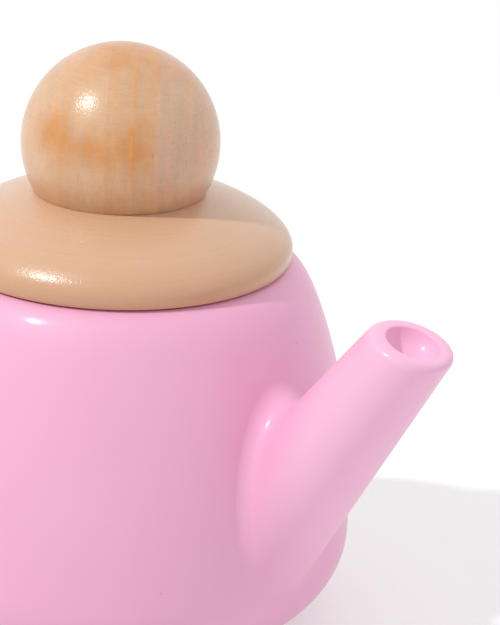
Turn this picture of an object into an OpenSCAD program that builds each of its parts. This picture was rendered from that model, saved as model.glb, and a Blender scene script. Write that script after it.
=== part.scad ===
// Toy teapot turned from wood: a bellied body with a straight coped spout and a bent bar handle,
// and a domed lid with a ball knob. The lid lifts off and turns in the mouth.
// Millimetres. +Z is up, +X is the spout's side, and the origin is the centre of the foot.

/* [Body] */
// Height of the body, from foot to rim
body_h = 79; // [76:0.5:83]
// Radius where the rim runs into the shoulder
rim_r = 33.5; // [31:0.5:34.5]
// Fall of the rim from its level land out to the shoulder
rim_fall = 0.2; // [0.1:0.05:0.4]
// Outer radius of the level land that the lid stands on
rim_land_r = 28.5; // [28.2:0.1:30]
// Width of the groove in the rim that makes the dark line under the lid's edge
groove_w = 2; // [1.4:0.1:2.6]
// Depth of the groove
groove_depth = 1.2; // [0.6:0.1:2]
// Distance from the lid's lower edge in to the groove
groove_set = 0.4; // [0.2:0.1:0.6]
// Radius where the shoulder runs into the side
shoulder_r = 41.2; // [40:0.1:43]
// Height of the shoulder's round
shoulder_h = 7.8; // [6:0.1:9]
// Radius at the widest level
belly_r = 50; // [48:0.5:53]
// Height of the widest level
belly_z = 20.3; // [17:0.1:23]
// Radius of the flat foot
foot_r = 24; // [20:0.5:28]
// Share of the side's height over which the side leaves the belly upright
side_pull_share = 0.59; // [0.5:0.01:0.7]

/* [Mouth] */
// Radius of the bore that makes the inside
bore_r = 26; // [23:0.5:27]
// Thickness of the floor under the bore
floor_t = 12; // [9:0.5:16]
// Radius of the corner between the bore's wall and its floor
bore_corner_r = 6; // [3:0.5:9]
// Chamfer round the mouth
mouth_chamfer = 1; // [0.4:0.1:1.6]

/* [Spout] */
// Height at which the spout's axis leaves the wall
spout_z = 40.1; // [38:0.1:43]
// Rise of the spout's axis, in degrees
spout_rise = 54.3; // [50:0.1:58]
// Length of the axis, from the wall to the mouth
spout_l = 50.1; // [45:0.1:54]
// Radius of the spout where its axis leaves the wall
spout_root_r = 11.85; // [11:0.05:12.5]
// Radius of the spout at the mouth
spout_tip_r = 8.15; // [7.6:0.05:9]
// Lean of the mouth towards level, in degrees
mouth_lean = 19.3; // [8:0.1:24]
// Round on the mouth's outer edge
mouth_round = 2.4; // [1.6:0.1:2.8]
// Radius of the blind recess in the mouth
recess_r = 5.1; // [4.2:0.1:5.3]
// Depth of the recess
recess_depth = 4.3; // [2.5:0.1:5]
// Chamfer on the recess's lip
recess_lip = 0.35; // [0.2:0.05:0.6]
// Radius of the hollow bead of filler over the spout's root
spout_bead_top_r = 4.4; // [3.5:0.1:5.5]
// Radius of the bead beside the root
spout_bead_side_r = 3; // [2.2:0.1:4]
// Radius of the bead under the root
spout_bead_low_r = 8; // [5:0.5:10]

/* [Handle] */
// Drop from the rim to the upper arm's axis
handle_drop = 15.5; // [13.5:0.5:18]
// Height of the lower arm
handle_low_z = 24; // [21:0.5:29]
// Radius of the bar
bar_r = 6; // [5:0.1:6.6]
// Distance from the belly to the start of the bend
handle_reach = 9; // [7:0.5:14]
// Depth of the sockets that hold the arms
socket_depth = 9; // [6:0.5:11]
// Radius of the hollow bead of filler round each arm
handle_bead_r = 3.2; // [2:0.1:4]

/* [Lid] */
// Radius of the lid at its widest level
lid_r = 35.8; // [35:0.1:37.5]
// Height of the lid above the rim
lid_h = 13.65; // [12:0.05:15]
// Height of the widest level above the rim
lid_edge_h = 2.3; // [1.8:0.1:3.5]
// Amount that the lid draws in below its widest level
lid_tuck = 0.7; // [0.4:0.1:1.4]
// Radius of the flat on top, under the knob
lid_flat_r = 17.5; // [16:0.1:19]
// Fullness of the dome beside the flat: 2 is an ellipse, less falls away sooner
lid_flat_power = 1.09; // [1.05:0.01:1.6]
// Fullness of the dome at its edge: 2 is an ellipse, less leans in sooner
lid_edge_power = 1.88; // [1.5:0.01:2.2]
// Thickness of the spigot disc under the lid
spigot_t = 6; // [4.5:0.5:8]
// Chamfer round the spigot's lower edge
spigot_chamfer = 1; // [0.5:0.1:2]

/* [Knob] */
// Radius of the ball
knob_r = 20.25; // [18:0.25:22]
// Height of the ball's centre above its flat
knob_seat = 10; // [8:0.5:14]

/* [Dowels] */
// Radius of both dowels
dowel_r = 4; // [3:0.1:5]
// Length of the spout's dowel, half in the body and half in the spout
spout_dowel_l = 30; // [22:1:34]
// Length of the knob's dowel
knob_dowel_l = 30; // [26:1:34]
// Depth of the knob's dowel in the spigot
knob_dowel_foot = 2.7; // [2:0.1:3.5]
// Chamfer on the dowels' ends
dowel_chamfer = 0.8; // [0.3:0.1:1.2]
// Number of glue flutes round each dowel
flute_count = 12; // [6:1:18]
// Radius of each flute
flute_r = 0.35; // [0.2:0.05:0.5]

/* [Fits] */
// Gap between a dowel and its hole
dowel_gap = 0.05; // [0.02:0.01:0.09]
// Gap past each end of a dowel
dowel_end_gap = 0.5; // [0.3:0.1:1]
// Glue line between the glued pieces
glue_gap = 0.1; // [0.05:0.01:0.15]
// Gap between the spigot and the bore
spigot_gap = 0.8; // [0.4:0.1:1.2]

/* [Hidden] */

$fn = 96;
pink = "#f0add0";
beige = "#e0b594";
pale_wood = "#dcb08a";
dowel_wood = "#d9bd96";
curve_steps = 12;
spout_bead_rings = 56;
arm_bead_rings = 36;
bead_steps = 7;
halvings = 26;
// Length that a cutting shape runs past the surface it cuts
overrun = 1;
// Step used to measure the wall's slope
slope_step = 0.4;
// Thickness of a bead's feather edge, over its glue line
bead_edge_t = 0.25;
// Share of the mouth's round that lies outside the spout's own edge
mouth_round_over_share = 0.1;

rim_z = body_h - rim_fall;
shoulder_z = rim_z - shoulder_h;
side_pull_z = belly_z + side_pull_share * (shoulder_z - belly_z);
shoulder_lean = (shoulder_r - belly_r) / (shoulder_z - side_pull_z);
shoulder_corner_r = shoulder_r + shoulder_lean * shoulder_h;
lid_top_z = body_h + lid_h;
knob_centre_z = lid_top_z + knob_seat;
knob_dowel_z = body_h - knob_dowel_foot;
groove_r = lid_r - lid_tuck - groove_set;
bowl_h = recess_depth - recess_lip;
bowl_r = (recess_r ^ 2 + bowl_h ^ 2) / (2 * bowl_h);
hole_r = dowel_r + dowel_gap;
handle_top_z = body_h - handle_drop;
arm_gap_z = handle_top_z - handle_low_z;
bend_r = arm_gap_z / 2;
bend_x = -belly_r - handle_reach;
arm_bead_radii = [handle_bead_r, handle_bead_r, handle_bead_r];

// The point at share t of a curve that leaves a towards b and arrives at c
function curve_at(a, b, c, t) = (1 - t) ^ 2 * a + 2 * t * (1 - t) * b + t ^ 2 * c;
function unit(v) = v / norm(v);

// The body's outline from foot to rim, as [radius, height]
body_wall = concat(
    [for (i = [0:curve_steps]) let (a = 90 * i / curve_steps)
        [foot_r + (belly_r - foot_r) * sin(a), belly_z * (1 - cos(a))]],
    [for (i = [1:curve_steps])
        curve_at([belly_r, belly_z], [belly_r, side_pull_z], [shoulder_r, shoulder_z], i / curve_steps)],
    [for (i = [1:curve_steps])
        curve_at([shoulder_r, shoulder_z], [shoulder_corner_r, rim_z], [rim_r, rim_z], i / curve_steps)]);
wall_table = [for (p = body_wall) [p[1], p[0]]];

function wall_r(z) = lookup(z, wall_table);
function wall_slope(z) = (wall_r(z + slope_step) - wall_r(z - slope_step)) / (2 * slope_step);
function off_wall(p) = norm([p[0], p[1]]) - wall_r(p[2]);
function to_wall(p) = let (k = wall_r(p[2]) / norm([p[0], p[1]])) [k * p[0], k * p[1], p[2]];
function wall_normal(p) = let (r = norm([p[0], p[1]])) unit([p[0] / r, p[1] / r, -wall_slope(p[2])]);

// A branch is a round bar that leaves the wall: [its root on the axis, direction, root radius, taper]
spout_branch = [[wall_r(spout_z), 0, spout_z], [cos(spout_rise), 0, sin(spout_rise)],
                spout_root_r, (spout_root_r - spout_tip_r) / spout_l];
function arm_branch(z) = [[-wall_r(z), 0, z], [-1, 0, 0], bar_r, 0];

function across(a, axis) = cos(a) * [0, 1, 0] + sin(a) * cross(axis, [0, 1, 0]);
function on_branch(b, a, s) = b[0] + s * b[1] + (b[2] - b[3] * s) * across(a, b[1]);

// How far along a branch its surface leaves the wall, at angle a, found by halving
function leave_wall(b, a, low, high, n) =
    let (mid = (low + high) / 2)
    n == 0 ? mid
    : off_wall(on_branch(b, a, mid)) > 0 ? leave_wall(b, a, low, mid, n - 1)
    : leave_wall(b, a, mid, high, n - 1);

// A bead's surface is the mark of a ball rolled round the joint, touching both the branch and the wall.
// Its radius at angle a runs smoothly between three radii: over, beside and under the branch.
function ball_r_at(radii, a) =
    radii[1] + (radii[0] - radii[1]) * max(0, sin(a)) ^ 2 + (radii[2] - radii[1]) * max(0, -sin(a)) ^ 2;
function branch_normal(b, a) = unit(across(a, b[1]) + b[3] * b[1]);
function ball_at(b, a, s, ball_r) = on_branch(b, a, s) + ball_r * branch_normal(b, a);
function wall_distance(p) = off_wall(p) / norm([1, wall_slope(p[2])]);

// How far along a branch the ball sits when it touches the wall too, at angle a, found by halving
function seat_ball(b, a, ball_r, low, high, n) =
    let (mid = (low + high) / 2)
    n == 0 ? mid
    : wall_distance(ball_at(b, a, mid, ball_r)) > ball_r ? seat_ball(b, a, ball_r, low, mid, n - 1)
    : seat_ball(b, a, ball_r, mid, high, n - 1);

// One section of a bead: a hollow arc from the branch to the wall, and back along the glue line
function bead_section(b, a, ball_r) =
    let (corner = on_branch(b, a, leave_wall(b, a, -2 * b[2], 2 * b[2], halvings)),
         seat = seat_ball(b, a, ball_r, -2 * b[2], 4 * b[2], halvings),
         ball = ball_at(b, a, seat, ball_r),
         branch_n = branch_normal(b, a),
         wall_n = wall_normal(ball),
         corner_n = wall_normal(corner),
         lift = (branch_n + corner_n) / (1 + branch_n * corner_n),
         turn = acos(branch_n * wall_n),
         on_bar = on_branch(b, a, seat),
         on_wall = to_wall(ball - ball_r * wall_n),
         half_wall = to_wall((corner + on_wall) / 2),
         arc_r = ball_r - glue_gap - bead_edge_t)
    concat(
        [for (i = [0:bead_steps]) let (k = i / bead_steps)
            ball - arc_r * (sin((1 - k) * turn) * branch_n + sin(k * turn) * wall_n) / sin(turn)],
        [on_wall + glue_gap * wall_normal(on_wall),
         half_wall + glue_gap * wall_normal(half_wall),
         corner + glue_gap * lift,
         on_bar + glue_gap * branch_n]);

module body_solid(grow) {
    rotate_extrude()
        polygon(concat([[0, 0]], [for (p = body_wall) [p[0] + grow, p[1]]],
            [[rim_land_r, body_h], [0, body_h]]));
}

// The straight bore, with a round corner at its floor and a chamfered mouth
module inside() {
    corner = [for (i = [0:curve_steps]) let (a = 90 * i / curve_steps)
        [bore_r - bore_corner_r * (1 - sin(a)), floor_t + bore_corner_r * (1 - cos(a))]];
    rotate_extrude()
        polygon(concat([[0, floor_t]], corner,
            [[bore_r, body_h - mouth_chamfer], [bore_r + mouth_chamfer, body_h],
             [bore_r + mouth_chamfer, body_h + overrun], [0, body_h + overrun]]));
}

// Puts the children's Z along the spout's axis, with their origin where it leaves the wall
module on_spout() {
    translate(spout_branch[0]) rotate([0, 90 - spout_rise, 0]) children();
}

// Puts the children's Z square to the spout's mouth, with their origin at the mouth's centre
module on_mouth() {
    translate([0, 0, spout_l]) rotate([0, -mouth_lean, 0]) children();
}

module shadow_groove() {
    rotate_extrude() translate([groove_r - groove_w, rim_z - groove_depth])
        square([groove_w, groove_depth + rim_fall + overrun]);
}

module arm_socket(z) {
    translate([-wall_r(z) + socket_depth, 0, z]) rotate([0, -90, 0])
        cylinder(r = bar_r + glue_gap, h = socket_depth + bar_r);
}

module dowel(length) {
    difference() {
        rotate_extrude()
            polygon([[0, 0], [dowel_r - dowel_chamfer, 0], [dowel_r, dowel_chamfer],
                     [dowel_r, length - dowel_chamfer], [dowel_r - dowel_chamfer, length], [0, length]]);
        for (i = [0:flute_count - 1])
            rotate(360 * i / flute_count) translate([dowel_r, 0, -overrun])
                cylinder(r = flute_r, h = length + 2 * overrun, $fn = 24);
    }
}

module bead(branch, radii, rings) {
    points = [for (i = [0:rings - 1]) let (a = 360 * i / rings)
        each bead_section(branch, a, ball_r_at(radii, a))];
    m = len(points) / rings;
    faces = [for (i = [0:rings - 1], j = [0:m - 1])
        let (here = i * m, next = (i + 1) % rings * m, k = (j + 1) % m)
        each [[here + j, next + j, next + k], [here + j, next + k, here + k]]];
    polyhedron(points, faces);
}

module pot_body() {
    color(pink) difference() {
        body_solid(0);
        inside();
        shadow_groove();
        on_spout() translate([0, 0, -spout_dowel_l / 2 - dowel_end_gap])
            cylinder(r = hole_r, h = spout_dowel_l);
        arm_socket(handle_top_z);
        arm_socket(handle_low_z);
    }
}

// A tapered bar cut to the body's curve, with a leaning mouth that has a round edge and a blind recess
module spout() {
    taper = spout_branch[3];
    below = 2 * spout_root_r;
    above = spout_tip_r * tan(mouth_lean) + overrun;
    cap_r = spout_tip_r / cos(mouth_lean) + mouth_round_over_share * mouth_round;
    wide_r = 2 * spout_root_r;
    mouth_edge = [for (i = [0:curve_steps]) let (a = 90 * i / curve_steps)
        [cap_r - mouth_round * (1 - sin(a)), -mouth_round * (1 - cos(a))]];
    color(pink) difference() {
        on_spout() difference() {
            intersection() {
                translate([0, 0, -below])
                    cylinder(r1 = spout_root_r + taper * below, r2 = spout_tip_r - taper * above,
                             h = below + spout_l + above);
                on_mouth() rotate_extrude()
                    polygon(concat([[0, 0]], mouth_edge,
                        [[wide_r, cap_r - wide_r - mouth_round], [wide_r, -2 * spout_l], [0, -2 * spout_l]]));
            }
            on_mouth() translate([0, 0, bowl_r - recess_depth]) sphere(r = bowl_r);
            on_mouth() translate([0, 0, -recess_lip])
                cylinder(r1 = recess_r, r2 = recess_r + recess_lip + overrun, h = recess_lip + overrun);
            translate([0, 0, -below])
                cylinder(r = hole_r, h = below + spout_dowel_l / 2 + dowel_end_gap);
        }
        body_solid(glue_gap);
    }
}

module spout_dowel() {
    color(dowel_wood) on_spout() translate([0, 0, -spout_dowel_l / 2]) dowel(spout_dowel_l);
}

module spout_bead() {
    color(pink)
        bead(spout_branch, [spout_bead_top_r, spout_bead_side_r, spout_bead_low_r], spout_bead_rings);
}

// A round bar bent to a half circle, with straight arms that end in the body's sockets
module handle() {
    color(pink) {
        for (z = [handle_top_z, handle_low_z])
            translate([bend_x, 0, z]) rotate([0, 90, 0])
                cylinder(r = bar_r, h = -bend_x - wall_r(z) + socket_depth - glue_gap);
        translate([bend_x, 0, handle_low_z + bend_r]) rotate([90, 0, 0]) rotate(90)
            rotate_extrude(angle = 180) translate([bend_r, 0]) circle(r = bar_r);
    }
}

module handle_upper_bead() {
    color(pink) bead(arm_branch(handle_top_z), arm_bead_radii, arm_bead_rings);
}

module handle_lower_bead() {
    color(pink) bead(arm_branch(handle_low_z), arm_bead_radii, arm_bead_rings);
}

// A dome with a flat for the knob, drawn in a little at its lower edge, and bored for the dowel
module lid() {
    tuck = [for (i = [0:curve_steps - 1]) let (a = 90 * i / curve_steps)
        [lid_r - lid_tuck * (1 - sin(a)), lid_edge_h * (1 - cos(a))]];
    dome = [for (i = [0:curve_steps]) let (a = 90 * i / curve_steps)
        [lid_flat_r + (lid_r - lid_flat_r) * cos(a) ^ (2 / lid_flat_power),
         lid_edge_h + (lid_h - lid_edge_h) * sin(a) ^ (2 / lid_edge_power)]];
    color(beige) translate([0, 0, body_h]) difference() {
        rotate_extrude() polygon(concat([[0, 0]], tuck, dome, [[0, lid_h]]));
        translate([0, 0, -overrun]) cylinder(r = hole_r, h = lid_h + 2 * overrun);
    }
}

module lid_spigot() {
    spigot_r = bore_r - spigot_gap;
    hole_depth = knob_dowel_foot + dowel_end_gap;
    color(beige) translate([0, 0, body_h - spigot_t]) difference() {
        rotate_extrude()
            polygon([[0, 0], [spigot_r - spigot_chamfer, 0], [spigot_r, spigot_chamfer],
                     [spigot_r, spigot_t], [0, spigot_t]]);
        translate([0, 0, spigot_t - hole_depth]) cylinder(r = hole_r, h = hole_depth + overrun);
    }
}

// A ball with a flat to stand on and a blind hole for the dowel
module knob() {
    hole_top_z = knob_dowel_z + knob_dowel_l + dowel_end_gap;
    color(pale_wood) difference() {
        translate([0, 0, knob_centre_z]) sphere(r = knob_r);
        translate([0, 0, lid_top_z - knob_r]) cylinder(r = knob_r, h = knob_r);
        translate([0, 0, lid_top_z - overrun]) cylinder(r = hole_r, h = hole_top_z - lid_top_z + overrun);
    }
}

module knob_dowel() {
    color(dowel_wood) translate([0, 0, knob_dowel_z]) dowel(knob_dowel_l);
}

pot_body();
spout();
spout_dowel();
spout_bead();
handle();
handle_upper_bead();
handle_lower_bead();
lid();
lid_spigot();
knob();
knob_dowel();
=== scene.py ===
# %% [markdown]
# # A wooden toy teapot
# The teapot is turned and glued from wood: a bellied pink body with a straight spout and a bar handle,
# a beige lid, and a ball of varnished wood for its knob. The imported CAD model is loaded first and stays
# as it is: it holds the real sizes, the dowels and the joints. Every piece that shows is then modelled
# afresh in the same frame and takes the place of its CAD node, so that it moves as the node would.

# %% Load the frame
import math

import bpy
import numpy as np
from mathutils import Matrix, Vector


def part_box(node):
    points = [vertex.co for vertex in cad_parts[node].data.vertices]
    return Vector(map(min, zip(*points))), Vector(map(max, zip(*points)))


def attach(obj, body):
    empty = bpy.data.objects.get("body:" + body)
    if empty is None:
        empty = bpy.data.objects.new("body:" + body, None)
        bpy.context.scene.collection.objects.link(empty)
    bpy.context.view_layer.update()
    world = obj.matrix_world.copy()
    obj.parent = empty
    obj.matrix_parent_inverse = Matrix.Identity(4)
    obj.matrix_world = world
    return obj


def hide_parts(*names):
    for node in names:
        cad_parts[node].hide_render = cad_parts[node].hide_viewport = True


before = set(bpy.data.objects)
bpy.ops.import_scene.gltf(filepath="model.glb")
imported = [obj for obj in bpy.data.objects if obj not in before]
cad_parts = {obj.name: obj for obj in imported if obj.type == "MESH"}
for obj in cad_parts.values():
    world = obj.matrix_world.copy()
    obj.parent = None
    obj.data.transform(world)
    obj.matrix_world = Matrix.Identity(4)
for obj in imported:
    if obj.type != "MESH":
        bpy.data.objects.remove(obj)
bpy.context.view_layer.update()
MM = 0.001

# %% [markdown]
# ## The camera
# The view is set before anything is modelled, so that each piece can be compared with the photograph
# as soon as it is made. A long lens at about 0.6 m looks down on the teapot from its front right, the side
# of the spout. It is aimed a little to the right of the pot's axis and has a slight roll.

# %% Camera
IMAGE_HEIGHT_PX = 625
FOCAL_PX = 2918.0
SENSOR_MM = 36.0
VIEW_AZIMUTH = math.radians(44.0)
VIEW_DISTANCE = 0.56767
RIM_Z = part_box("pot_body")[1].z
VIEW_ABOVE_RIM = 0.19427
AIM_RIGHT = math.radians(2.783)
AIM_DOWN = math.radians(20.004)
ROLL = math.radians(2.301)

heading = VIEW_AZIMUTH - AIM_RIGHT
level_ahead = Vector((-math.sin(heading), math.cos(heading), 0))
level_right = Vector((math.cos(heading), math.sin(heading), 0))
ahead = level_ahead * math.cos(AIM_DOWN) - Vector((0, 0, math.sin(AIM_DOWN)))
level_up = level_right.cross(ahead)
right = level_right * math.cos(ROLL) + level_up * math.sin(ROLL)
up = right.cross(ahead)

bpy.ops.object.camera_add()
camera = bpy.context.object
camera.name = "photo_camera"
camera.data.sensor_width = SENSOR_MM
camera.data.lens = SENSOR_MM * FOCAL_PX / IMAGE_HEIGHT_PX
place = Matrix((right, up, -ahead)).transposed().to_4x4()
place.translation = (VIEW_DISTANCE * math.sin(VIEW_AZIMUTH), -VIEW_DISTANCE * math.cos(VIEW_AZIMUTH),
                     RIM_Z + VIEW_ABOVE_RIM)
camera.matrix_world = place
bpy.context.scene.camera = camera
print("lens", round(camera.data.lens, 1), "mm")

# %% [markdown]
# ## The body
# The real body is turned on a lathe from one block. Blender's lathe is the spin operator: half of the
# outline is drawn as a chain of points, and turning it once round the axis makes the skin. A subdivided
# cylinder could be pushed into shape too, but a turned outline keeps every level truly round. The outline
# starts under the foot, climbs the wall, crosses the rim and goes down the bore to the floor inside.
# A shallow groove in the rim, just under the lid's edge, makes the dark line there.

# %% Turning an outline
TURN_STEPS = 224
WELD_GAP = MM / 1000


def arc(centre, radii, start, end, count):
    """Points on an ellipse's arc, ends included; an angle of 0 points outwards and 90 upwards."""
    angles = [math.radians(start + (end - start) * i / count) for i in range(count + 1)]
    return [(centre[0] + radii[0] * math.cos(a), centre[1] + radii[1] * math.sin(a)) for a in angles]


def curve(a, b, c, count):
    """Points on the curve that leaves a towards b and arrives at c, ends included."""
    shares = [i / count for i in range(count + 1)]
    return [tuple((1 - t) ** 2 * p + 2 * t * (1 - t) * q + t * t * r for p, q, r in zip(a, b, c))
            for t in shares]


def smooth(piece, degrees=35):
    bpy.ops.object.select_all(action="DESELECT")
    piece.select_set(True)
    bpy.context.view_layer.objects.active = piece
    bpy.ops.object.shade_smooth_by_angle(angle=math.radians(degrees))


def turn(name, outline):
    """Turns an outline of (radius, height) points about the teapot's axis."""
    bpy.ops.object.select_all(action="DESELECT")
    bpy.ops.mesh.primitive_plane_add(size=MM)
    piece = bpy.context.object
    piece.name = name
    bpy.ops.object.mode_set(mode="EDIT")
    bpy.ops.mesh.select_mode(type="VERT")
    bpy.ops.mesh.merge(type="CENTER")
    here = (0.0, 0.0)
    for number, point in enumerate(outline):
        step = (point[0] - here[0], 0, point[1] - here[1])
        if number == 0:
            bpy.ops.transform.translate(value=step)
        else:
            bpy.ops.mesh.extrude_vertices_move(TRANSFORM_OT_translate={"value": step})
        here = point
    bpy.ops.mesh.select_all(action="SELECT")
    bpy.ops.mesh.spin(steps=TURN_STEPS, angle=2 * math.pi, center=(0, 0, 0), axis=(0, 0, 1))
    bpy.ops.mesh.select_all(action="SELECT")
    bpy.ops.mesh.remove_doubles(threshold=WELD_GAP)
    bpy.ops.mesh.normals_make_consistent(inside=False)
    bpy.ops.object.mode_set(mode="OBJECT")
    smooth(piece)
    print(name, "turned:", len(piece.data.polygons), "faces")
    return piece


# %% Body
BODY_H = RIM_Z
FOOT_R = 24 * MM
BELLY_R = 50 * MM
BELLY_Z = 20.3 * MM
SHOULDER_R = 41.2 * MM
SHOULDER_H = 7.8 * MM
RIM_R = 33.5 * MM
RIM_FALL = 0.2 * MM
RIM_LAND_R = 28.5 * MM
SIDE_PULL_SHARE = 0.59
GROOVE_R = 34.7 * MM
GROOVE_W = 2 * MM
GROOVE_DEPTH = 1.2 * MM
BORE_R = 26 * MM
FLOOR_T = 12 * MM
BORE_CORNER_R = 6 * MM
MOUTH_ROUND = 1 * MM
FOOT_STEPS = 28
SIDE_STEPS = 30
SHOULDER_STEPS = 16
EDGE_STEPS = 6
CORNER_STEPS = 10

rim_z = BODY_H - RIM_FALL
shoulder_z = rim_z - SHOULDER_H
side_pull_z = BELLY_Z + SIDE_PULL_SHARE * (shoulder_z - BELLY_Z)
shoulder_lean = (SHOULDER_R - BELLY_R) / (shoulder_z - side_pull_z)
foot = arc((FOOT_R, BELLY_Z), (BELLY_R - FOOT_R, BELLY_Z), -90, 0, FOOT_STEPS)
side = curve((BELLY_R, BELLY_Z), (BELLY_R, side_pull_z), (SHOULDER_R, shoulder_z), SIDE_STEPS)
shoulder_corner = (SHOULDER_R + shoulder_lean * SHOULDER_H, rim_z)
shoulder = curve((SHOULDER_R, shoulder_z), shoulder_corner, (RIM_R, rim_z), SHOULDER_STEPS)
wall = foot + side[1:] + shoulder[1:]
outside = [point for point in wall if point[1] < shoulder_z or point[0] > GROOVE_R]
inwards = [-r for r, _ in shoulder]
groove_top = float(np.interp(-GROOVE_R, inwards, [z for _, z in shoulder]))
groove_low = rim_z - GROOVE_DEPTH
groove_inner_r = GROOVE_R - GROOVE_W
groove = [(GROOVE_R, groove_top), (GROOVE_R, groove_low)]
groove += [(groove_inner_r, groove_low), (groove_inner_r, rim_z)]
edge_middle = (BORE_R + MOUTH_ROUND, BODY_H - MOUTH_ROUND)
mouth_edge = arc(edge_middle, (MOUTH_ROUND, MOUTH_ROUND), 90, 180, EDGE_STEPS)
corner_middle = (BORE_R - BORE_CORNER_R, FLOOR_T + BORE_CORNER_R)
corner = arc(corner_middle, (BORE_CORNER_R, BORE_CORNER_R), 0, -90, CORNER_STEPS)
inside = [(RIM_LAND_R, BODY_H)] + mouth_edge + corner + [(0, FLOOR_T)]
pot_body = turn("pot_body_turned", [(0, 0)] + outside + groove + inside)

# %% [markdown]
# ## The spout
# The spout is a plain tapered bar, cut off at its mouth. The cut leans, so that the mouth lies nearer to
# level. Its edge is sanded round, and a blind bowl is sunk in it. So a cone is added along the spout's axis,
# ring cuts keep its shading even, one bisect makes the mouth, a bevel rounds it, and a row of insets goes
# down into the bowl. Last, the root is coped to the body with a Boolean, as a saw and a drum sander would.

# %% Spout
SPOUT_Z = 40.1 * MM
SPOUT_RISE = math.radians(54.3)
SPOUT_L = 50.1 * MM
SPOUT_ROOT_R = 11.85 * MM
SPOUT_TIP_R = 8.15 * MM
SPOUT_BELOW = 19 * MM
SPOUT_ABOVE = 4 * MM
MOUTH_LEAN = math.radians(19.3)
MOUTH_EDGE_ROUND = 1.7 * MM
BOWL_MOUTH_R = 5.45 * MM
BOWL_R = 5.4 * MM
BOWL_SLOPE = math.radians(76)
BOWL_LIP = 0.5 * MM
FLAT_COSINE = 0.999
SPOUT_SIDES = 128
RING_CUT_SHARES = (0.1, 0.25, 0.4, 0.55, 0.7, 0.82, 0.9)
MOUTH_BEVEL_STEPS = 10
LIP_STEPS = 6
BOWL_STEPS = 14

wall_heights = [z for _, z in wall]
wall_radii = [r for r, _ in wall]


def wall_r(z):
    """The body's radius at a height."""
    return float(np.interp(z, wall_heights, wall_radii))


spout_axis = Vector((math.cos(SPOUT_RISE), 0, math.sin(SPOUT_RISE)))
spout_root = Vector((wall_r(SPOUT_Z), 0, SPOUT_Z))
spout_taper = (SPOUT_ROOT_R - SPOUT_TIP_R) / SPOUT_L
mouth_centre = spout_root + spout_axis * SPOUT_L
mouth_rise = SPOUT_RISE + MOUTH_LEAN
mouth_normal = Vector((math.cos(mouth_rise), 0, math.sin(mouth_rise)))


def select_faces(piece, wanted):
    """In edit mode, selects the faces for which wanted(face) is true."""
    bpy.ops.mesh.select_mode(type="FACE")
    bpy.ops.mesh.select_all(action="DESELECT")
    bpy.ops.object.mode_set(mode="OBJECT")
    for face in piece.data.polygons:
        face.select = wanted(face)
    bpy.ops.object.mode_set(mode="EDIT")


def apply_boolean(piece, cutter):
    """Cuts one piece away from another."""
    cut = piece.modifiers.new("cope", "BOOLEAN")
    cut.operation = "DIFFERENCE"
    cut.solver = "EXACT"
    cut.object = cutter
    bpy.ops.object.select_all(action="DESELECT")
    bpy.context.view_layer.objects.active = piece
    piece.select_set(True)
    bpy.ops.object.modifier_apply(modifier=cut.name)


bpy.ops.object.select_all(action="DESELECT")
length = SPOUT_BELOW + SPOUT_L + SPOUT_ABOVE
bpy.ops.mesh.primitive_cone_add(
    vertices=SPOUT_SIDES, depth=length,
    radius1=SPOUT_ROOT_R + spout_taper * SPOUT_BELOW,
    radius2=SPOUT_TIP_R - spout_taper * SPOUT_ABOVE,
    location=spout_root + spout_axis * (length / 2 - SPOUT_BELOW),
    rotation=(0, math.pi / 2 - SPOUT_RISE, 0))
spout = bpy.context.object
spout.name = "spout_tapered"
bpy.ops.object.transform_apply()
bpy.ops.object.mode_set(mode="EDIT")
for share in RING_CUT_SHARES:
    bpy.ops.mesh.select_all(action="SELECT")
    bpy.ops.mesh.bisect(plane_co=spout_root + spout_axis * SPOUT_L * share, plane_no=spout_axis)
bpy.ops.mesh.select_all(action="SELECT")
bpy.ops.mesh.bisect(plane_co=mouth_centre, plane_no=mouth_normal, clear_outer=True, use_fill=True)
bpy.ops.mesh.bevel(offset=MOUTH_EDGE_ROUND, offset_type="OFFSET", segments=MOUTH_BEVEL_STEPS, profile=0.5,
                   affect="EDGES")


def on_mouth(face):
    """Whether a face is the mouth's flat middle."""
    flat = face.normal.dot(mouth_normal) > FLAT_COSINE
    return flat and (face.center - mouth_centre).length < SPOUT_TIP_R / 4


select_faces(spout, on_mouth)
land = SPOUT_TIP_R - MOUTH_EDGE_ROUND - BOWL_MOUTH_R
bpy.ops.mesh.inset(thickness=land, depth=0)
lip_stride = BOWL_LIP / LIP_STEPS
bowl_turn = BOWL_SLOPE / (BOWL_STEPS + 1)
bowl_stride = BOWL_R * bowl_turn
strides = [(lip_stride, BOWL_SLOPE * (i + 0.5) / LIP_STEPS) for i in range(LIP_STEPS)]
strides += [(bowl_stride, BOWL_SLOPE - bowl_turn * (i + 0.5)) for i in range(BOWL_STEPS)]
for stride, lean in strides:
    bpy.ops.mesh.inset(thickness=stride * math.cos(lean), depth=-stride * math.sin(lean))
bpy.ops.object.mode_set(mode="OBJECT")
apply_boolean(spout, pot_body)
smooth(spout)
print("spout:", len(spout.data.polygons), "faces")

# %% [markdown]
# ## The filler beads
# Where the spout and the handle meet the body, filler is pressed into the corner before the lacquer is
# sprayed, and a round-nosed tool is drawn along it, so the joint shows only as a soft hollow. A bevel can't
# run between two separate pieces, and a bridge between two loops bulges where the corner is sharp. So each
# bead is the mark of a ball rolled round the joint: at every angle the ball is seated where it touches both
# the bar and the body, and the ring is the arc between those two points, closed under the skin.

# %% Beads
BEAD_SIDES = 160
BEAD_STEPS = 28
BEAD_SINK = 0.006 * MM
BEAD_CORE = 0.6 * MM
BEAD_SMOOTH_DEGREES = 60
HALVINGS = 36
# Where a ball's seat is looked for along a bar, from its root, in shares of the bar's radius
SEARCH_SHARES = (-2, 4)

wall_points = np.array(wall)


def across(axis, a):
    """The direction square to a bar's axis at an angle round it."""
    side = Vector((0, 1, 0))
    return side * math.cos(a) + axis.cross(side) * math.sin(a)


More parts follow.
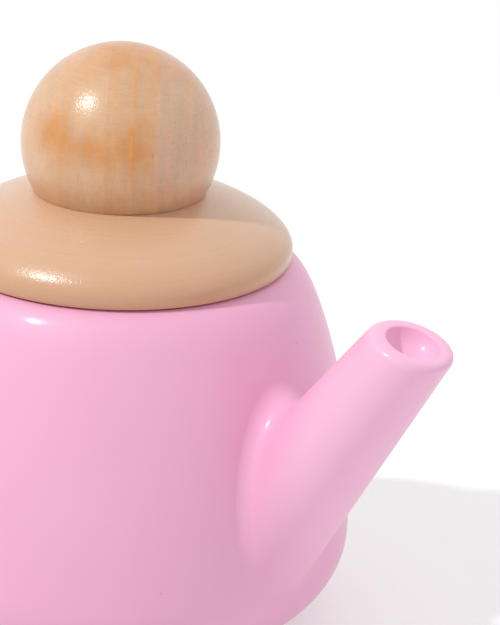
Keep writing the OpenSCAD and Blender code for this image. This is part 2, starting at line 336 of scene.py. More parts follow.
def nearest_wall(p):
    """How far p stands off the body's wall, and the wall's outward direction there."""
    spot = np.array((math.hypot(p.x, p.y), p.z))
    starts = wall_points[:-1]
    runs = wall_points[1:] - starts
    shares = np.clip(((spot - starts) * runs).sum(1) / (runs * runs).sum(1), 0, 1)
    offsets = spot - (starts + runs * shares[:, None])
    near = int((offsets * offsets).sum(1).argmin())
    side = math.copysign(1, spot[0] - wall_r(p.z))
    out_r, out_z = side * offsets[near] / np.linalg.norm(offsets[near])
    outward = Vector((p.x, p.y, 0)).normalized() * out_r + Vector((0, 0, out_z))
    return side * float(np.linalg.norm(offsets[near])), outward


def seat(point_at, clearance, low, high):
    """How far along a bar the given point stands off the body by the clearance, found by halving."""
    for _ in range(HALVINGS):
        middle = (low + high) / 2
        if nearest_wall(point_at(middle))[0] > clearance:
            high = middle
        else:
            low = middle
    return (low + high) / 2


def bead_ring(root, axis, root_r, taper, a, ball_r):
    """One section of a bead, at an angle round the bar: the ball's mark, and three points under it."""
    out = across(axis, a)
    off_bar = (out + axis * taper).normalized()

    def on_bar(s):
        return root + axis * s + out * (root_r - taper * s)

    def ball_at(s):
        return on_bar(s) + off_bar * ball_r

    low, high = (root_r * share for share in SEARCH_SHARES)
    corner = on_bar(seat(on_bar, 0, low, high))
    ball = ball_at(seat(ball_at, ball_r, low, high))
    off_body = nearest_wall(ball)[1]
    reach = ball_r + BEAD_SINK
    ring = [ball - off_bar.slerp(off_body, i / BEAD_STEPS) * reach for i in range(BEAD_STEPS + 1)]
    under_body = (corner + ring[-1]) / 2 - off_body * BEAD_CORE
    under_corner = corner - (off_body + off_bar) * BEAD_CORE
    under_bar = (corner + ring[0]) / 2 - off_bar * BEAD_CORE
    return ring + [under_body, under_corner, under_bar]


def make_bead(name, root, axis, root_r, taper, top_r, side_r, low_r):
    """A bead round a bar; the ball's radius runs smoothly between those over, beside and under the bar."""
    points = []
    for i in range(BEAD_SIDES):
        a = 2 * math.pi * i / BEAD_SIDES
        upper = max(0, math.sin(a)) ** 2
        lower = max(0, -math.sin(a)) ** 2
        ball_r = side_r + (top_r - side_r) * upper + (low_r - side_r) * lower
        points += bead_ring(root, axis, root_r, taper, a, ball_r)
    row = len(points) // BEAD_SIDES
    faces = []
    for i in range(BEAD_SIDES):
        here, there = i * row, (i + 1) % BEAD_SIDES * row
        for j in range(row):
            k = (j + 1) % row
            faces.append((here + j, there + j, there + k, here + k))
    mesh = bpy.data.meshes.new(name)
    mesh.from_pydata(points, [], faces)
    piece = bpy.data.objects.new(name, mesh)
    bpy.context.scene.collection.objects.link(piece)
    bpy.ops.object.select_all(action="DESELECT")
    bpy.context.view_layer.objects.active = piece
    piece.select_set(True)
    bpy.ops.object.mode_set(mode="EDIT")
    bpy.ops.mesh.select_all(action="SELECT")
    bpy.ops.mesh.normals_make_consistent(inside=False)
    bpy.ops.object.mode_set(mode="OBJECT")
    smooth(piece, BEAD_SMOOTH_DEGREES)
    print(name, "rolled:", len(faces), "faces")
    return piece


# %% Spout bead
SPOUT_BEAD_TOP_R = 4.4 * MM
SPOUT_BEAD_SIDE_R = 3 * MM
SPOUT_BEAD_LOW_R = 8 * MM
spout_bead = make_bead("spout_bead_smooth", spout_root, spout_axis, SPOUT_ROOT_R, spout_taper,
                       SPOUT_BEAD_TOP_R, SPOUT_BEAD_SIDE_R, SPOUT_BEAD_LOW_R)

# %% [markdown]
# ## The handle
# The handle is a round bar with two straight arms and a half-circle bend. A curve with a bevel would give
# the same tube, but extruding a circle along one arm, spinning it round the bend and extruding it back
# along the other keeps the arms exactly straight where they go into their sockets.

# %% Handle
HANDLE_DROP = 15.5 * MM
HANDLE_LOW_Z = 24 * MM
BAR_R = 6 * MM
HANDLE_REACH = 9 * MM
SOCKET_DEPTH = 8.9 * MM
HANDLE_BEAD_R = 3.2 * MM
BAR_SIDES = 72
BEND_STEPS = 56

handle_top_z = BODY_H - HANDLE_DROP
bend_r = (handle_top_z - HANDLE_LOW_Z) / 2
bend_x = -BELLY_R - HANDLE_REACH
top_end = -wall_r(handle_top_z) + SOCKET_DEPTH
low_end = -wall_r(HANDLE_LOW_Z) + SOCKET_DEPTH

bpy.ops.object.select_all(action="DESELECT")
bpy.ops.mesh.primitive_circle_add(vertices=BAR_SIDES, radius=BAR_R, location=(top_end, 0, handle_top_z),
                                  rotation=(0, math.pi / 2, 0))
handle = bpy.context.object
handle.name = "handle_bent"
bpy.ops.object.transform_apply()
bpy.ops.object.mode_set(mode="EDIT")
bpy.ops.mesh.select_mode(type="VERT")
bpy.ops.mesh.select_all(action="SELECT")
bpy.ops.mesh.extrude_edges_move(TRANSFORM_OT_translate={"value": (bend_x - top_end, 0, 0)})
bpy.ops.mesh.spin(steps=BEND_STEPS, angle=math.pi, center=(bend_x, 0, HANDLE_LOW_Z + bend_r), axis=(0, 1, 0))
bpy.ops.mesh.extrude_edges_move(TRANSFORM_OT_translate={"value": (low_end - bend_x, 0, 0)})
bpy.ops.mesh.select_all(action="SELECT")
bpy.ops.mesh.remove_doubles(threshold=WELD_GAP)
bpy.ops.mesh.fill_holes(sides=0)
bpy.ops.mesh.normals_make_consistent(inside=False)
bpy.ops.object.mode_set(mode="OBJECT")
smooth(handle)
low, high = (Vector(handle.bound_box[0]), Vector(handle.bound_box[6]))
print("handle spans", [round(v / MM, 1) for v in (*low, *high)], "mm")

# %% Handle beads
back = Vector((-1, 0, 0))
handle_beads = []
for name, z in (("handle_upper_bead", handle_top_z), ("handle_lower_bead", HANDLE_LOW_Z)):
    root = Vector((-wall_r(z), 0, z))
    handle_beads.append(make_bead(name + "_smooth", root, back, BAR_R, 0,
                                  HANDLE_BEAD_R, HANDLE_BEAD_R, HANDLE_BEAD_R))

# %% [markdown]
# ## The lid and its spigot
# The lid is turned like the body: a full dome that is drawn in a little at its lower edge, so that a thin
# dark line shows between it and the shoulder. Under it is a glued disc, the spigot, that keeps the lid in
# the mouth. It shows only when the lid is lifted, and its lower edge is rounded to find its way in.

# %% Lid
LID_R = 35.8 * MM
LID_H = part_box("lid")[1].z - BODY_H
LID_EDGE_H = 2.3 * MM
LID_TUCK = 0.7 * MM
LID_FLAT_R = 17.5 * MM
LID_FLAT_POWER = 1.09
LID_EDGE_POWER = 1.88
TUCK_STEPS = 14
DOME_STEPS = 48
SPIGOT_EDGE_STEPS = 8
SPIGOT_R = 25.2 * MM
SPIGOT_T = 6 * MM
SPIGOT_ROUND = 1 * MM

tuck = arc((LID_R - LID_TUCK, BODY_H + LID_EDGE_H), (LID_TUCK, LID_EDGE_H), -90, 0, TUCK_STEPS)
dome = []
for i in range(1, DOME_STEPS + 1):
    a = math.pi / 2 * i / DOME_STEPS
    dome.append((LID_FLAT_R + (LID_R - LID_FLAT_R) * max(0, math.cos(a)) ** (2 / LID_FLAT_POWER),
                 BODY_H + LID_EDGE_H + (LID_H - LID_EDGE_H) * math.sin(a) ** (2 / LID_EDGE_POWER)))
lid = turn("lid_turned", [(0, BODY_H)] + tuck + dome + [(0, BODY_H + LID_H)])
spigot_low = BODY_H - SPIGOT_T
edge_middle = (SPIGOT_R - SPIGOT_ROUND, spigot_low + SPIGOT_ROUND)
edge = arc(edge_middle, (SPIGOT_ROUND, SPIGOT_ROUND), -90, 0, SPIGOT_EDGE_STEPS)
lid_spigot = turn("lid_spigot_turned", [(0, spigot_low)] + edge + [(SPIGOT_R, BODY_H), (0, BODY_H)])

# %% [markdown]
# ## The knob
# The knob is a stock wooden ball with a flat sanded on it to stand on. A sphere is added at its size, one
# bisect makes the flat, and a small bevel takes off the sharp edge, as a sanding belt would.

# %% Knob
KNOB_R = 20.25 * MM
KNOB_EDGE = 0.15 * MM
KNOB_EDGE_STEPS = 5
BALL_SEGMENTS = 160
BALL_RINGS = 112
knob_low, knob_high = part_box("knob")
knob_centre = Vector((0, 0, knob_high.z - KNOB_R))
bpy.ops.object.select_all(action="DESELECT")
bpy.ops.mesh.primitive_uv_sphere_add(segments=BALL_SEGMENTS, ring_count=BALL_RINGS, radius=KNOB_R,
                                     location=knob_centre)
knob = bpy.context.object
knob.name = "knob_ball"
bpy.ops.object.transform_apply()
bpy.ops.object.mode_set(mode="EDIT")
bpy.ops.mesh.select_all(action="SELECT")
bpy.ops.mesh.bisect(plane_co=(0, 0, knob_low.z), plane_no=(0, 0, -1), clear_outer=True, use_fill=True)
bpy.ops.mesh.bevel(offset=KNOB_EDGE, segments=KNOB_EDGE_STEPS, profile=0.5, affect="EDGES")
bpy.ops.object.mode_set(mode="OBJECT")
smooth(knob)
print("knob:", len(knob.data.polygons), "faces, top at", round(knob_high.z / MM, 1), "mm")

# %% [markdown]
# ## Materials
# Each finish is named for the real one. One function turns written colours to linear light, one turns a
# real size to a pattern's scale, and one adds a node with its settings and its links. The patterns read
# Object coordinates: every piece sits at the origin, so a pattern runs on across the glued joints.

# %% Material helpers


def colour(hex_code):
    """An sRGB hex colour as linear red, green, blue and full opacity."""
    shares = [int(hex_code[i:i + 2], 16) / 255 for i in (1, 3, 5)]
    return [s / 12.92 if s <= 0.04045 else ((s + 0.055) / 1.055) ** 2.4 for s in shares] + [1.0]


def per_metre(size_mm):
    """The scale of a pattern whose features are that many millimetres wide."""
    return 1 / (size_mm * MM)


def add(tree, kind, inputs=None, **settings):
    """Adds a node: settings are its own options, and inputs are values or another node's outputs."""
    node = tree.nodes.new(kind)
    for name, value in settings.items():
        setattr(node, name, value)
    for socket, value in (inputs or {}).items():
        if isinstance(value, bpy.types.NodeSocket):
            tree.links.new(value, node.inputs[socket])
        else:
            node.inputs[socket].default_value = value
    return node


def new_material(name):
    material = bpy.data.materials.new(name)
    material.use_nodes = True
    material.node_tree.nodes.clear()
    return material, material.node_tree


# %% [markdown]
# ### Pink lacquer
# Sprayed satin lacquer over sanded wood. The eye gets an even, opaque pink with small, soft-edged
# highlights, the faint pebbling that sprayers call orange peel, slow waves left by sanding, and a few
# specks of dust caught in the coat. Towards the spout's end the pink is painted a shade paler. This is
# painted light, standing for the brighter light on the spout and in its mouth; the real paint there is the
# same pink.

# %% Pink lacquer
PINK = "#f7b5d6"
PINK_DEEP = "#f4afd2"
# Painted light: the paler pink mixed in towards the spout's end, for the brighter light there
PINK_PAINTED_LIGHT = "#fbbedd"
SPECK = "#d888b0"
PEEL_MM = 1.3
PEEL_DEEP_MM = 0.05
WAVE_MM = 11
WAVE_DEEP_MM = 0.4
CLOUD_MM = 26
SPECK_SPACING_MM = 13
SPECK_CORE_MM = 0.156
SPECK_EDGE_MM = 0.39
# Where the painted light towards the spout's end begins and where it is full, along x
PAINTED_LIGHT_FROM_MM = 51
PAINTED_LIGHT_TO_MM = 64


def make_pink_lacquer():
    material, tree = new_material("pink_satin_lacquer")
    place = add(tree, "ShaderNodeTexCoord").outputs["Object"]
    cloud = add(tree, "ShaderNodeTexNoise", {"Vector": place, "Scale": per_metre(CLOUD_MM), "Detail": 3.0})
    dust = add(tree, "ShaderNodeTexVoronoi", {"Vector": place, "Scale": per_metre(SPECK_SPACING_MM)})
    speck = add(tree, "ShaderNodeMapRange", {"Value": dust.outputs["Distance"],
                                             "From Min": SPECK_CORE_MM / SPECK_SPACING_MM,
                                             "From Max": SPECK_EDGE_MM / SPECK_SPACING_MM,
                                             "To Min": 0.7, "To Max": 0.0})
    tone = add(tree, "ShaderNodeMix", {"Factor": cloud.outputs["Fac"], "A": colour(PINK),
                                       "B": colour(PINK_DEEP)}, data_type="RGBA")
    along = add(tree, "ShaderNodeSeparateXYZ", {"Vector": place})
    # Painted light: the pink is mixed paler towards the spout's end, where more light falls. It stands for
    # light, not for a thinner coat.
    painted_light = add(tree, "ShaderNodeMapRange", {"Value": along.outputs["X"], "From Min": PAINTED_LIGHT_FROM_MM * MM,
                                            "From Max": PAINTED_LIGHT_TO_MM * MM}, interpolation_type="SMOOTHSTEP")
    coat = add(tree, "ShaderNodeMix", {"Factor": painted_light.outputs["Result"], "A": tone.outputs["Result"],
                                       "B": colour(PINK_PAINTED_LIGHT)}, data_type="RGBA")
    paint = add(tree, "ShaderNodeMix", {"Factor": speck.outputs["Result"], "A": coat.outputs["Result"],
                                        "B": colour(SPECK)}, data_type="RGBA")
    peel = add(tree, "ShaderNodeTexNoise", {"Vector": place, "Scale": per_metre(PEEL_MM), "Detail": 1.0})
    wave = add(tree, "ShaderNodeTexNoise", {"Vector": place, "Scale": per_metre(WAVE_MM), "Detail": 1.0})
    waved = add(tree, "ShaderNodeBump", {"Height": wave.outputs["Fac"], "Strength": 0.3,
                                         "Distance": WAVE_DEEP_MM * MM})
    peeled = add(tree, "ShaderNodeBump", {"Height": peel.outputs["Fac"], "Strength": 0.25,
                                          "Distance": PEEL_DEEP_MM * MM, "Normal": waved.outputs["Normal"]})
    gloss = add(tree, "ShaderNodeMapRange", {"Value": cloud.outputs["Fac"], "To Min": 0.46, "To Max": 0.54})
    shader = add(tree, "ShaderNodeBsdfPrincipled",
                 {"Base Color": paint.outputs["Result"], "Roughness": gloss.outputs["Result"],
                  "Normal": peeled.outputs["Normal"], "IOR": 1.5, "Specular IOR Level": 0.5,
                  "Coat Weight": 0.3, "Coat Roughness": 0.16,
                  "Coat Normal": peeled.outputs["Normal"]})
    add(tree, "ShaderNodeOutputMaterial", {"Surface": shader.outputs["BSDF"]})
    return material


pink_lacquer = make_pink_lacquer()
print("pink lacquer:", len(pink_lacquer.node_tree.nodes), "nodes")

# %% [markdown]
# ### Beige lacquer
# The same kind of coat in beige. It is thinner on the lid: the fine rings that the lathe left lift it in
# faint lines, and its grit breaks the highlight into a glitter of small points. Towards the lid's lower
# edge the beige is painted deeper. This is painted shade, where less light falls on the lid's lower part.

# %% Beige lacquer
BEIGE = "#ddb28f"
BEIGE_DEEP = "#d6a986"
# Painted shade: the deeper beige painted towards the lid's lower edge
BEIGE_PAINTED_SHADE = "#cc9770"
GRIT_MM = 0.42
GRIT_DEEP_MM = 0.06
TURN_LINE_MM = 0.7
TURN_LINE_DEEP_MM = 0.03
# Where the painted shade towards the lid's lower edge begins and where it is full, above the rim, and how
# strong it is
LID_SHADE_FROM_MM = 8
LID_SHADE_TO_MM = 1
LID_SHADE_SHARE = 0.7


def make_beige_lacquer():
    material, tree = new_material("beige_satin_lacquer")
    place = add(tree, "ShaderNodeTexCoord").outputs["Object"]
    cloud = add(tree, "ShaderNodeTexNoise", {"Vector": place, "Scale": per_metre(CLOUD_MM), "Detail": 4.0})
    level = add(tree, "ShaderNodeVectorMath", {0: place, 1: (1, 1, 0)}, operation="MULTIPLY")
    radius = add(tree, "ShaderNodeVectorMath", {0: level.outputs["Vector"]}, operation="LENGTH")
    lines = add(tree, "ShaderNodeTexNoise", {"W": radius.outputs["Value"], "Scale": per_metre(TURN_LINE_MM),
                                             "Detail": 2.0}, noise_dimensions="1D")
    mottle = add(tree, "ShaderNodeMath", {0: cloud.outputs["Fac"], 1: lines.outputs["Fac"]},
                 operation="MULTIPLY")
    share = add(tree, "ShaderNodeMapRange", {"Value": mottle.outputs["Value"], "From Max": 0.6})
    tone = add(tree, "ShaderNodeMix", {"Factor": share.outputs["Result"], "A": colour(BEIGE),
                                       "B": colour(BEIGE_DEEP)}, data_type="RGBA")
    height = add(tree, "ShaderNodeSeparateXYZ", {"Vector": place})
    # Painted shade: the beige is mixed deeper towards the lid's lower edge, where less light falls. It
    # stands for shade, not for a gathered coat.
    low = add(tree, "ShaderNodeMapRange", {"Value": height.outputs["Z"],
                                           "From Min": RIM_Z + LID_SHADE_FROM_MM * MM,
                                           "From Max": RIM_Z + LID_SHADE_TO_MM * MM, "To Max": LID_SHADE_SHARE})
    paint = add(tree, "ShaderNodeMix", {"Factor": low.outputs["Result"], "A": tone.outputs["Result"],
                                        "B": colour(BEIGE_PAINTED_SHADE)}, data_type="RGBA")
    grit = add(tree, "ShaderNodeTexNoise", {"Vector": place, "Scale": per_metre(GRIT_MM), "Detail": 2.0})
    lined = add(tree, "ShaderNodeBump", {"Height": lines.outputs["Fac"], "Strength": 0.15,
                                         "Distance": TURN_LINE_DEEP_MM * MM})
    gritty = add(tree, "ShaderNodeBump", {"Height": grit.outputs["Fac"], "Strength": 1.0,
                                          "Distance": GRIT_DEEP_MM * MM, "Normal": lined.outputs["Normal"]})
    shader = add(tree, "ShaderNodeBsdfPrincipled",
                 {"Base Color": paint.outputs["Result"], "Roughness": 0.36, "IOR": 1.5,
                  "Specular IOR Level": 0.35, "Normal": gritty.outputs["Normal"],
                  "Coat Weight": 0.7, "Coat Roughness": 0.2, "Coat Normal": gritty.outputs["Normal"]})
    add(tree, "ShaderNodeOutputMaterial", {"Surface": shader.outputs["BSDF"]})
    return material


beige_lacquer = make_beige_lacquer()
print("beige lacquer:", len(beige_lacquer.node_tree.nodes), "nodes")

# %% [markdown]
# ### Varnished birch
# The ball is turned from pale birch with its grain upright, and clear-varnished. The eye gets cloudy
# orange and pale patches drawn out along the grain, upright bands with the crisp edges of the growth rings,
# short dark flecks, a fine shimmer across the grain, and a small bright highlight that the varnish's texture
# breaks up. The patches are placed by their bearing round the ball and their height above its middle.

# %% Varnished birch
BIRCH_PALE = "#e0b58e"
BIRCH_MID = "#daa87d"
BIRCH_ORANGE = "#d78f47"
BIRCH_PINKISH = "#dcb8a8"
# Partly the wood's own tone, partly painted shade: the darker, browner colour mixed in towards the ball's
# bottom
BIRCH_LOW_TONE_AND_SHADE = "#bf845f"
FLECK = "#a8754f"
GRAIN_TURN = math.radians(41)
FIGURE_MM = (5, 7, 12)
BAND_MM = (1.7, 14, 70)
FLECK_MM = (0.22, 0.5, 1.9)
SHIMMER_MM = (2.4, 2.4, 0.32)
SMUDGE_MM = 5
SMUDGE_SHIFT_MM = 5
VARNISH_MM = 0.36
VARNISH_DEEP_MM = 0.058
RINGS_MM = (-11.2, -2.0, 3.4, 8.0)
OUTER_FROM_MM = RINGS_MM[-1]
RING_EDGE_MM = 0.12
RING_FADE_MM = 3.0
RING_SWAY_MM = 0.3
RING_DARK_SHARE = 0.05
# Where the darker tone and painted shade towards the ball's bottom begins and where it is full, below its
# middle
LOW_FROM_MM = -3
LOW_TO_MM = -13
LOW_TONE_AND_SHADE_SHARE = 0.6
OUTER_SHARE = 0.3
FIGURE_SHARE = 0.35
STAIN_SHARE = 0.65
PATCH_FADE_SHARE = 1.25
# Each patch: its name, its bearing in degrees, its height, width and tallness in mm, and its strength
PATCHES = (
    ("left", 1, 5.4, 6.5, 6.5, 0.95),
    ("left_low", 24, 3.5, 12.0, 5.0, 0.8),
    ("middle", 50, 3.8, 5.0, 7.0, 0.95),
    ("upper_right", 116, 15.6, 6.0, 5.0, 0.8),
    ("top", 62, 19.9, 11.0, 5.0, 0.75))


def stain_patches(tree, place):
    """How strongly the wood is stained at each place, from 0 to 1, with the patches' edges smudged."""
    cloud = add(tree, "ShaderNodeTexNoise", {"Vector": place, "Scale": per_metre(SMUDGE_MM), "Detail": 2.0})
    drift = add(tree, "ShaderNodeVectorMath", {0: cloud.outputs["Color"], 1: (0.5, 0.5, 0.5)},
                operation="SUBTRACT")
    shift = add(tree, "ShaderNodeVectorMath", {0: drift.outputs["Vector"], "Scale": SMUDGE_SHIFT_MM * MM},
                operation="SCALE")
    smudged = add(tree, "ShaderNodeVectorMath", {0: place, 1: shift.outputs["Vector"]})
    stain = 0.0
    for _, turn_degrees, height_mm, wide_mm, tall_mm, strength in PATCHES:
        out = math.sqrt(KNOB_R ** 2 - (height_mm * MM) ** 2)
        bearing = math.radians(turn_degrees)
        centre = knob_centre + Vector((math.sin(bearing) * out, -math.cos(bearing) * out, height_mm * MM))
        away = add(tree, "ShaderNodeVectorMath", {0: smudged.outputs["Vector"], 1: centre},
                   operation="SUBTRACT")
        spread = [per_metre(size) for size in (wide_mm, wide_mm, tall_mm)]
        shares = add(tree, "ShaderNodeVectorMath", {0: away.outputs["Vector"], 1: spread},
                     operation="MULTIPLY")
        far = add(tree, "ShaderNodeVectorMath", {0: shares.outputs["Vector"]}, operation="LENGTH")
        patch = add(tree, "ShaderNodeMapRange", {"Value": far.outputs["Value"], "From Max": PATCH_FADE_SHARE,
                                                 "To Min": strength, "To Max": 0.0},
                    interpolation_type="SMOOTHSTEP")
        stain = add(tree, "ShaderNodeMath", {0: stain, 1: patch.outputs["Result"]},
                    operation="MAXIMUM").outputs["Value"]
    return stain


def grain(tree, place, sizes_mm, detail, noise_span, span=(0.0, 1.0), distortion=0.0):
    """Noise drawn out along the grain; its values in noise_span are spread over span."""
    drawn = add(tree, "ShaderNodeMapping", {"Vector": place, "Rotation": (0, 0, GRAIN_TURN),
                                            "Scale": tuple(size * MM for size in sizes_mm)},
                vector_type="TEXTURE")
    noise = add(tree, "ShaderNodeTexNoise", {"Vector": drawn.outputs["Vector"], "Scale": 1.0,
                                             "Detail": detail, "Distortion": distortion})
    spread = add(tree, "ShaderNodeMapRange", {"Value": noise.outputs["Fac"], "From Min": noise_span[0],
                                              "From Max": noise_span[1], "To Min": span[0],
                                              "To Max": span[1]})
    return spread.outputs["Result"]


def growth_rings(tree, across, figure):
    """How much the wood is darkened just past each growth ring's crisp edge, which sways with the figure."""
    sway = add(tree, "ShaderNodeMapRange", {"Value": figure, "To Min": -RING_SWAY_MM * MM,
                                            "To Max": RING_SWAY_MM * MM})
    swayed = add(tree, "ShaderNodeMath", {0: across, 1: sway.outputs["Result"]}).outputs["Value"]
    darkened = 0.0
    for ring_mm in RINGS_MM:
        past = add(tree, "ShaderNodeMath", {0: swayed, 1: ring_mm * MM},
                   operation="SUBTRACT").outputs["Value"]
        edge = add(tree, "ShaderNodeMapRange", {"Value": past, "From Min": -RING_EDGE_MM * MM,
                                                "From Max": RING_EDGE_MM * MM})
        fade = add(tree, "ShaderNodeMapRange", {"Value": past, "From Max": RING_FADE_MM * MM,
                                                "To Min": RING_DARK_SHARE, "To Max": 0.0})
        darkened = add(tree, "ShaderNodeMath", {0: edge.outputs["Result"], 1: fade.outputs["Result"],
                                                2: darkened}, operation="MULTIPLY_ADD").outputs["Value"]
    return darkened


# %% Birch material
def make_varnished_birch():
    material, tree = new_material("varnished_birch")
    place = add(tree, "ShaderNodeTexCoord").outputs["Object"]
    bands = grain(tree, place, BAND_MM, 2.0, (0.32, 0.68), (0.0, 0.38))
    figure = grain(tree, place, FIGURE_MM, 3.0, (0.3, 0.72), distortion=0.4)
    clouded = add(tree, "ShaderNodeMath", {0: figure, 1: FIGURE_SHARE, 2: bands}, operation="MULTIPLY_ADD")
    tint = add(tree, "ShaderNodeMath", {0: stain_patches(tree, place), 1: STAIN_SHARE,
                                        2: clouded.outputs["Value"]}, operation="MULTIPLY_ADD")
    ramp = add(tree, "ShaderNodeValToRGB", {"Fac": tint.outputs["Value"]})
    pale, orange = ramp.color_ramp.elements
    pale.position = 0.12
    pale.color = colour(BIRCH_PALE)
    orange.position = 0.95
    orange.color = colour(BIRCH_ORANGE)
    ramp.color_ramp.elements.new(0.45).color = colour(BIRCH_MID)

    side = (math.cos(GRAIN_TURN), math.sin(GRAIN_TURN), 0)
    across = add(tree, "ShaderNodeVectorMath", {0: place, 1: side}, operation="DOT_PRODUCT").outputs["Value"]
    outer = add(tree, "ShaderNodeMapRange", {"Value": across, "To Max": OUTER_SHARE,
                                             "From Min": (OUTER_FROM_MM - RING_EDGE_MM) * MM,
                                             "From Max": (OUTER_FROM_MM + RING_EDGE_MM) * MM})
    height = add(tree, "ShaderNodeSeparateXYZ", {"Vector": place})
    # Partly painted shade: the ball is mixed darker and browner towards its bottom, where less light falls;
    # partly the wood's own tone.
    low = add(tree, "ShaderNodeMapRange", {"Value": height.outputs["Z"],
                                           "From Min": knob_centre.z + LOW_FROM_MM * MM,
                                           "From Max": knob_centre.z + LOW_TO_MM * MM, "To Max": LOW_TONE_AND_SHADE_SHARE},
              interpolation_type="SMOOTHSTEP")
    pinkish = add(tree, "ShaderNodeMix", {"Factor": outer.outputs["Result"], "A": ramp.outputs["Color"],
                                          "B": colour(BIRCH_PINKISH)}, data_type="RGBA")
    wood = add(tree, "ShaderNodeMix", {"Factor": low.outputs["Result"], "A": pinkish.outputs["Result"],
                                       "B": colour(BIRCH_LOW_TONE_AND_SHADE)}, data_type="RGBA")

    shimmer = grain(tree, place, SHIMMER_MM, 1.0, (0.3, 0.7), (0.965, 1.035))
    lines = grain(tree, place, BAND_MM, 4.0, (0.3, 0.7), (0.87, 1.09))
    streaks = add(tree, "ShaderNodeMath", {0: shimmer, 1: lines}, operation="MULTIPLY")
    kept = add(tree, "ShaderNodeMath", {0: 1.0, 1: growth_rings(tree, across, figure)}, operation="SUBTRACT")
    light = add(tree, "ShaderNodeMath", {0: streaks.outputs["Value"], 1: kept.outputs["Value"]},
                operation="MULTIPLY")
    toned = add(tree, "ShaderNodeVectorMath", {0: wood.outputs["Result"], "Scale": light.outputs["Value"]},
                operation="SCALE")
    flecks = grain(tree, place, FLECK_MM, 1.0, (0.58, 0.8), (0.0, 0.3))
    flecked = add(tree, "ShaderNodeMix", {"Factor": flecks, "A": toned.outputs["Vector"],
                                          "B": colour(FLECK)}, data_type="RGBA")
    skin = add(tree, "ShaderNodeTexNoise", {"Vector": place, "Scale": per_metre(VARNISH_MM), "Detail": 1.5})
    lifted = add(tree, "ShaderNodeBump", {"Height": skin.outputs["Fac"], "Strength": 1.0,
                                          "Distance": VARNISH_DEEP_MM * MM})
    shader = add(tree, "ShaderNodeBsdfPrincipled",
                 {"Base Color": flecked.outputs["Result"], "Roughness": 0.5, "IOR": 1.45,
                  "Normal": lifted.outputs["Normal"], "Coat Weight": 0.8, "Coat Roughness": 0.2,
                  "Coat Normal": lifted.outputs["Normal"]})
    add(tree, "ShaderNodeOutputMaterial", {"Surface": shader.outputs["BSDF"]})
    return material


varnished_birch = make_varnished_birch()
print("varnished birch:", len(varnished_birch.node_tree.nodes), "nodes")

# %% [markdown]
# ### Bare wood
# The dowels and the bore are left as they come off the tools: dry pale wood with fine grain, and in the
# bore the cutter's rings, drawn several times coarser than they are so that they show.

# %% Bare wood
BARE_PALE = "#e3cba6"
BARE_DARK = "#cfae82"
BARE_GRAIN_MM = (0.9, 0.9, 16)
TOOL_RING_MM = 5.65
TOOL_RING_DEEP_MM = 0.04
# A wave texture draws this many waves to the metre for each unit of its scale
WAVES_PER_SCALE = 20 / (2 * math.pi)


def make_bare_wood():
    material, tree = new_material("bare_turned_wood")
    place = add(tree, "ShaderNodeTexCoord").outputs["Object"]
    drawn = add(tree, "ShaderNodeMapping",
                {"Vector": place, "Scale": tuple(per_metre(size) for size in BARE_GRAIN_MM)})
    fibres = add(tree, "ShaderNodeTexNoise", {"Vector": drawn.outputs["Vector"], "Scale": 1.0,
                                              "Detail": 4.0})
    share = add(tree, "ShaderNodeMapRange", {"Value": fibres.outputs["Fac"], "From Min": 0.3,
                                             "From Max": 0.7})
    wood = add(tree, "ShaderNodeMix", {"Factor": share.outputs["Result"], "A": colour(BARE_PALE),
                                       "B": colour(BARE_DARK)}, data_type="RGBA")
    rings = add(tree, "ShaderNodeTexWave", {"Vector": place, "Distortion": 0.4,
                                            "Scale": per_metre(TOOL_RING_MM) / WAVES_PER_SCALE},
                bands_direction="Z")
    cut = add(tree, "ShaderNodeBump", {"Height": rings.outputs["Fac"], "Strength": 0.3,
                                       "Distance": TOOL_RING_DEEP_MM * MM})
    shader = add(tree, "ShaderNodeBsdfPrincipled",
                 {"Base Color": wood.outputs["Result"], "Roughness": 0.7, "Normal": cut.outputs["Normal"]})
    add(tree, "ShaderNodeOutputMaterial", {"Surface": shader.outputs["BSDF"]})
    return material


bare_wood = make_bare_wood()
print("bare wood:", len(bare_wood.node_tree.nodes), "nodes")

# %% [markdown]
# ## Dressing the pieces
# Each new piece gets its finish and takes over from its CAD node, on the body that the node rides on. The
# pot, spout, handle and beads are sprayed together, and the lid with its spigot. The dowels keep their CAD
# shapes. The bore is the one place where a piece has two finishes: it is left bare inside the pink.

# %% Finish the pieces


def finish_piece(piece, material, body, node):
    """Gives a piece its finish, and puts it in its CAD node's place on its body."""
    piece.data.materials.clear()
    piece.data.materials.append(material)
    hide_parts(node)
    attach(piece, body)


for piece, node in ((pot_body, "pot_body"), (spout, "spout"), (spout_bead, "spout_bead"), (handle, "handle"),
                    (handle_beads[0], "handle_upper_bead"), (handle_beads[1], "handle_lower_bead")):
    finish_piece(piece, pink_lacquer, "pot", node)
for piece, node in ((lid, "lid"), (lid_spigot, "lid_spigot")):
    finish_piece(piece, beige_lacquer, "lid", node)
finish_piece(knob, varnished_birch, "lid", "knob")
for node in ("spout_dowel", "knob_dowel"):
    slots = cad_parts[node].data.materials
    slots.clear()
    slots.append(bare_wood)

pot_body.data.materials.append(bare_wood)
for face in pot_body.data.polygons:
    away = math.hypot(face.center.x, face.center.y)
    if away < BORE_R + MOUTH_ROUND / 4 and face.center.z > FLOOR_T / 2:
        face.material_index = 1
bare_faces = sum(face.material_index for face in pot_body.data.polygons)
print("pieces finished:", bare_faces, "faces of the bore are bare")

# %% [markdown]
# ## The stage
# A plain pale floor keeps the teapot's shadow. To the camera and in reflections it is lifted towards white,
# because the real floor is bright; to all other light it is an ordinary pale floor, which throws soft light
# back up. One small lamp gives the crisp shadows and highlights, and a white sky fills in, a little brighter
# from behind.

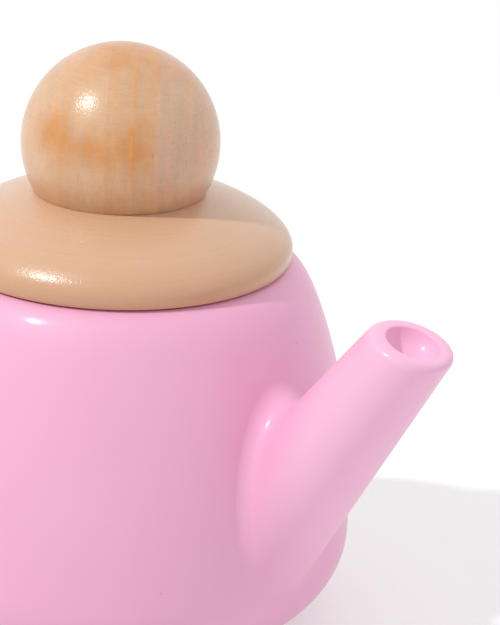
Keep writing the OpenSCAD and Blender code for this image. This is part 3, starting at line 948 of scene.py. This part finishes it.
# %% Stage values
FLOOR_SIZE = 8.0
FLOOR_GLOW = 0.375
FLOOR_SEEN = "#d7d7d7"
FLOOR_PALE = "#eeeeee"
KEY_AZIMUTH = math.radians(-19)
KEY_RISE = math.radians(50.5)
KEY_DISTANCE = 1.6
KEY_SIZE = 0.07
KEY_POWER = 12.2
SKY_WHITE = "#ffffff"
SKY_STRENGTH = 0.7
SKY_SLOPE = 0.256
SKY_AZIMUTH = math.radians(186)


def seen_rays(tree):
    """1 for the rays by which the eye sees something, straight, mirrored or through it, and 0 for others."""
    path = add(tree, "ShaderNodeLightPath")
    direct = add(tree, "ShaderNodeMath", {0: path.outputs["Is Camera Ray"],
                                          1: path.outputs["Is Glossy Ray"]}, operation="MAXIMUM")
    seen = add(tree, "ShaderNodeMath", {0: direct.outputs["Value"], 1: path.outputs["Is Transmission Ray"]},
               operation="MAXIMUM")
    return seen.outputs["Value"]


# %% Floor
bpy.ops.object.select_all(action="DESELECT")
bpy.ops.mesh.primitive_plane_add(size=FLOOR_SIZE)
floor = bpy.context.object
floor.name = "floor"
material, tree = new_material("pale_floor")
plain = add(tree, "ShaderNodeBsdfDiffuse", {"Color": colour(FLOOR_PALE)})
shaded = add(tree, "ShaderNodeBsdfDiffuse", {"Color": colour(FLOOR_SEEN)})
glow = add(tree, "ShaderNodeEmission", {"Strength": FLOOR_GLOW})
lifted = add(tree, "ShaderNodeAddShader", {0: shaded.outputs["BSDF"], 1: glow.outputs["Emission"]})
surface = add(tree, "ShaderNodeMixShader", {"Fac": seen_rays(tree), 1: plain.outputs["BSDF"],
                                            2: lifted.outputs["Shader"]})
add(tree, "ShaderNodeOutputMaterial", {"Surface": surface.outputs["Shader"]})
floor.data.materials.append(material)
print("floor:", FLOOR_SIZE, "m wide")

# %% Lamp
aim = Vector((0, 0, RIM_Z / 2))
key_level = math.cos(KEY_RISE)
towards_key = Vector((math.sin(KEY_AZIMUTH) * key_level, -math.cos(KEY_AZIMUTH) * key_level,
                      math.sin(KEY_RISE)))
bpy.ops.object.light_add(type="AREA", location=aim + towards_key * KEY_DISTANCE)
key = bpy.context.object
key.name = "key_light"
key.data.shape = "DISK"
key.data.size = KEY_SIZE
key.data.energy = KEY_POWER
key.rotation_euler = towards_key.to_track_quat("Z", "Y").to_euler()
print("lamp at", [round(v, 2) for v in key.location], "m")

# %% Sky
world = bpy.data.worlds.new("studio")
bpy.context.scene.world = world
world.use_nodes = True
tree = world.node_tree
tree.nodes.clear()
towards = add(tree, "ShaderNodeTexCoord").outputs["Generated"]
bright_side = Vector((math.sin(SKY_AZIMUTH), -math.cos(SKY_AZIMUTH), 0))
behind = add(tree, "ShaderNodeVectorMath", {0: towards, 1: bright_side}, operation="DOT_PRODUCT")
soft = add(tree, "ShaderNodeMath", {0: behind.outputs["Value"], 1: SKY_SLOPE, 2: SKY_STRENGTH},
           operation="MULTIPLY_ADD")
sky = add(tree, "ShaderNodeMapRange", {"Value": seen_rays(tree), "To Min": soft.outputs["Value"],
                                       "To Max": 1.0})
studio = add(tree, "ShaderNodeBackground", {"Color": colour(SKY_WHITE), "Strength": sky.outputs["Result"]})
add(tree, "ShaderNodeOutputWorld", {"Surface": studio.outputs["Background"]})
bpy.context.scene.view_settings.view_transform = "Standard"
print("sky set")
